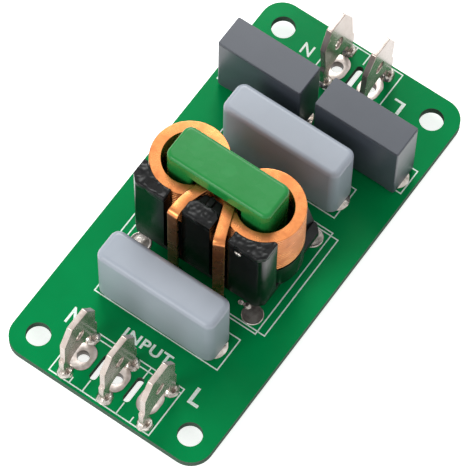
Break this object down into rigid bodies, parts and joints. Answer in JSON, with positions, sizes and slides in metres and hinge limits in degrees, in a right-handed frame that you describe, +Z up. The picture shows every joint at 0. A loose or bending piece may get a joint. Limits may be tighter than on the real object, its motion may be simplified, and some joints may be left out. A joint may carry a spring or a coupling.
{
  "type": "emi line filter",
  "caption": "Mains EMI filter on an open circuit board: box film capacitors, a flat-wire common-mode choke, quick-connect tabs and wire pads at both ends, screw holes in the corners",
  "frame": {"origin": "middle of the part's footprint, in the plane of the trimmed lead tips that it stands on", "axes": "+X across the board from the neutral side to the live side, +Y along the board from the input end to the output end, +Z up, out of the component side"},
  "size_m": [0.03, 0.06, 0.0222],
  "materials": {
    "board_laminate": "glass-epoxy laminate under a glossy green solder mask",
    "tinned_sheet": "punched brass sheet, bright tin plated",
    "tinned_copper": "tin over copper, satin",
    "solder": "bright solder, smooth and slightly uneven",
    "light_grey_case": "moulded polyester case, fine satin",
    "dark_grey_case": "moulded polyester case, fine satin",
    "potting_resin": "poured epoxy, glossy",
    "wound_film": "metallised polypropylene film, satin",
    "coated_ferrite": "ferrite under a green epoxy coat, low gloss",
    "enamelled_copper": "flat copper wire under clear enamel, glossy",
    "black_base": "black phenolic moulding, glossy"
  },
  "bodies": {
    "root": {"circuit_board": "board_laminate", "input_wire_pads": "tinned_copper", "output_wire_pads": "tinned_copper", "input_tab_neutral": "tinned_sheet", "input_tab_earth": "tinned_sheet", "input_tab_live": "tinned_sheet", "output_tab_neutral": "tinned_sheet", "output_tab_live": "tinned_sheet", "input_tab_solder": "solder", "output_tab_solder": "solder", "input_capacitor_case": "light_grey_case", "input_capacitor_resin": "potting_resin", "input_capacitor_film": "wound_film", "input_capacitor_leads": "tinned_copper", "output_capacitor_case": "light_grey_case", "output_capacitor_resin": "potting_resin", "output_capacitor_film": "wound_film", "output_capacitor_leads": "tinned_copper", "neutral_y_capacitor_case": "dark_grey_case", "neutral_y_capacitor_resin": "potting_resin", "neutral_y_capacitor_film": "wound_film", "neutral_y_capacitor_leads": "tinned_copper", "live_y_capacitor_case": "dark_grey_case", "live_y_capacitor_resin": "potting_resin", "live_y_capacitor_film": "wound_film", "live_y_capacitor_leads": "tinned_copper", "capacitor_solder": "solder", "choke_base": "black_base", "choke_core": "coated_ferrite", "choke_winding_neutral": "enamelled_copper", "choke_winding_live": "enamelled_copper", "choke_solder": "solder", "spare_choke_pads": "solder"}
  },
  "joints": []
}
